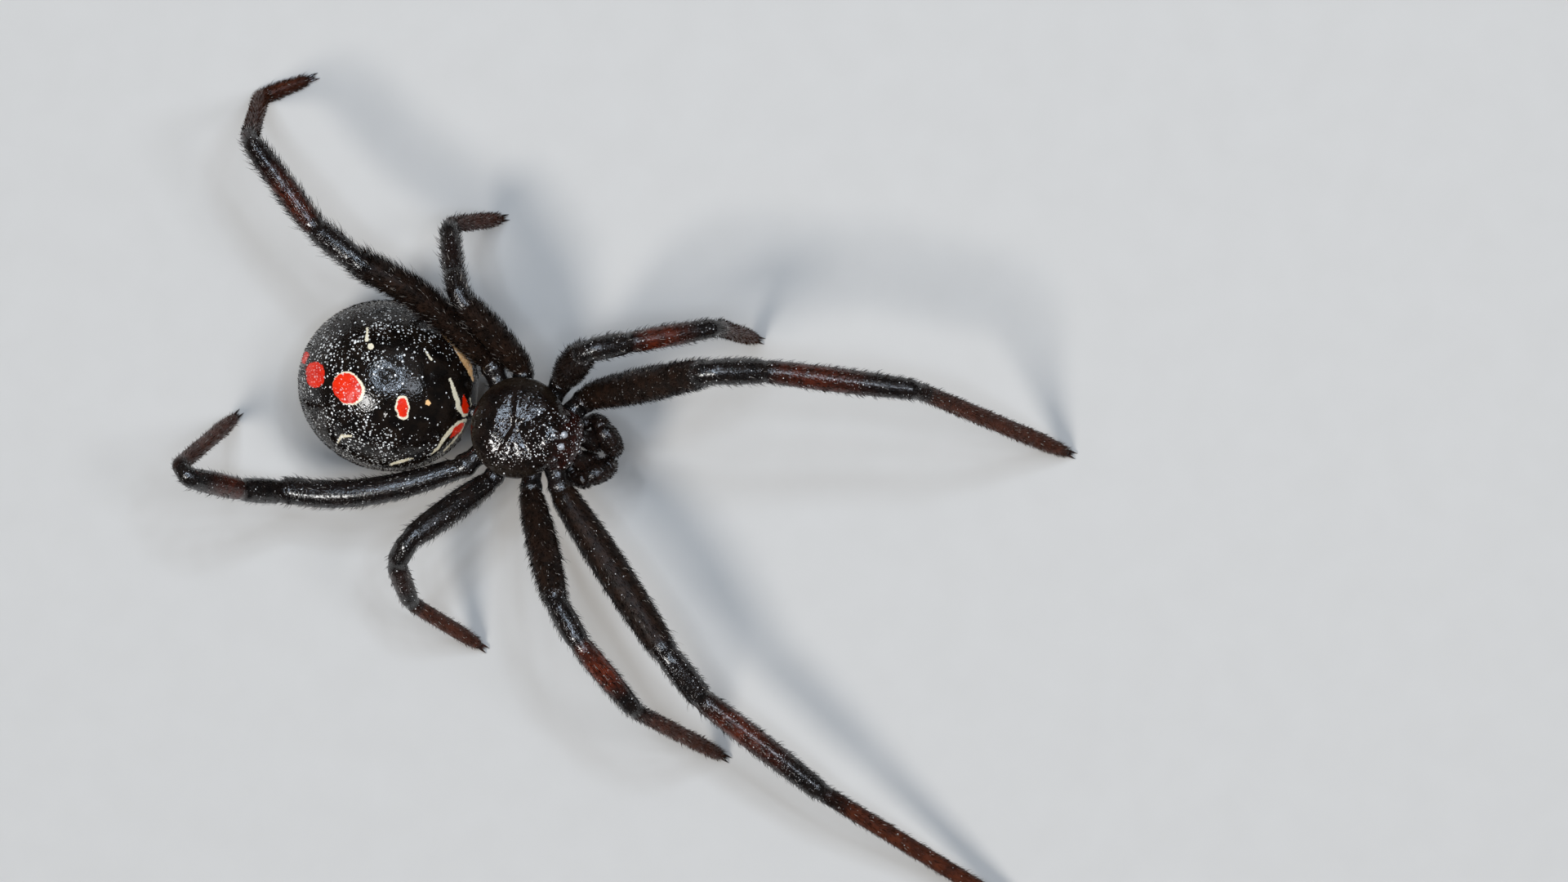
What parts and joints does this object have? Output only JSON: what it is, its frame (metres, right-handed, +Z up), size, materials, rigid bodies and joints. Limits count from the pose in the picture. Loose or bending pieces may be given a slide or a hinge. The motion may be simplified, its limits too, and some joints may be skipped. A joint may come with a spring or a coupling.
{
  "type": "black widow spider",
  "caption": "Life-size standing black widow spider: globular glossy black abdomen with red spots edged in cream, and long slender jointed legs.",
  "frame": {"origin": "centre of the spider's box from above, on the floor that its feet stand on", "axes": "+Z up; the head points to -Y; the spider's left side is +X"},
  "size_m": [0.0186, 0.0292, 0.0078],
  "materials": {
    "black_cuticle": "glossy black cuticle, finely grained and set with short hairs; red spots edged in cream on the abdomen",
    "brown_black_cuticle": "glossy very dark brown cuticle with a granular surface and scattered bristles",
    "red_brown_cuticle": "satin dark red-brown cuticle under dense short dark hairs",
    "eye_lens": "smooth glassy black lens"
  },
  "bodies": {
    "root": {"abdomen": "black_cuticle", "cephalothorax": "brown_black_cuticle", "chelicera_left": "brown_black_cuticle", "chelicera_right": "brown_black_cuticle", "eye_front_middle_left": "eye_lens", "eye_front_middle_right": "eye_lens", "eye_front_side_left": "eye_lens", "eye_front_side_right": "eye_lens", "eye_rear_middle_left": "eye_lens", "eye_rear_middle_right": "eye_lens", "eye_rear_side_left": "eye_lens", "eye_rear_side_right": "eye_lens", "leg_left_1_coxa": "black_cuticle", "leg_left_1_femur": "black_cuticle", "leg_left_1_foot": "red_brown_cuticle", "leg_left_1_patella": "black_cuticle", "leg_left_1_tibia": "red_brown_cuticle", "leg_left_2_coxa": "black_cuticle", "leg_left_2_femur": "black_cuticle", "leg_left_2_foot": "red_brown_cuticle", "leg_left_2_patella": "black_cuticle", "leg_left_2_tibia": "red_brown_cuticle", "leg_left_3_coxa": "black_cuticle", "leg_left_3_femur": "black_cuticle", "leg_left_3_foot": "red_brown_cuticle", "leg_left_3_patella": "black_cuticle", "leg_left_3_tibia": "red_brown_cuticle", "leg_left_4_coxa": "black_cuticle", "leg_left_4_femur": "black_cuticle", "leg_left_4_foot": "red_brown_cuticle", "leg_left_4_patella": "black_cuticle", "leg_left_4_tibia": "red_brown_cuticle", "leg_right_1_coxa": "black_cuticle", "leg_right_1_femur": "black_cuticle", "leg_right_1_foot": "red_brown_cuticle", "leg_right_1_patella": "black_cuticle", "leg_right_1_tibia": "red_brown_cuticle", "leg_right_2_coxa": "black_cuticle", "leg_right_2_femur": "black_cuticle", "leg_right_2_foot": "red_brown_cuticle", "leg_right_2_patella": "black_cuticle", "leg_right_2_tibia": "red_brown_cuticle", "leg_right_3_coxa": "black_cuticle", "leg_right_3_femur": "black_cuticle", "leg_right_3_foot": "red_brown_cuticle", "leg_right_3_patella": "black_cuticle", "leg_right_3_tibia": "red_brown_cuticle", "leg_right_4_coxa": "black_cuticle", "leg_right_4_femur": "black_cuticle", "leg_right_4_foot": "red_brown_cuticle", "leg_right_4_patella": "black_cuticle", "leg_right_4_tibia": "red_brown_cuticle", "palp_left": "brown_black_cuticle", "palp_right": "brown_black_cuticle", "pedicel": "brown_black_cuticle", "spinnerets": "brown_black_cuticle"}
  },
  "joints": []
}
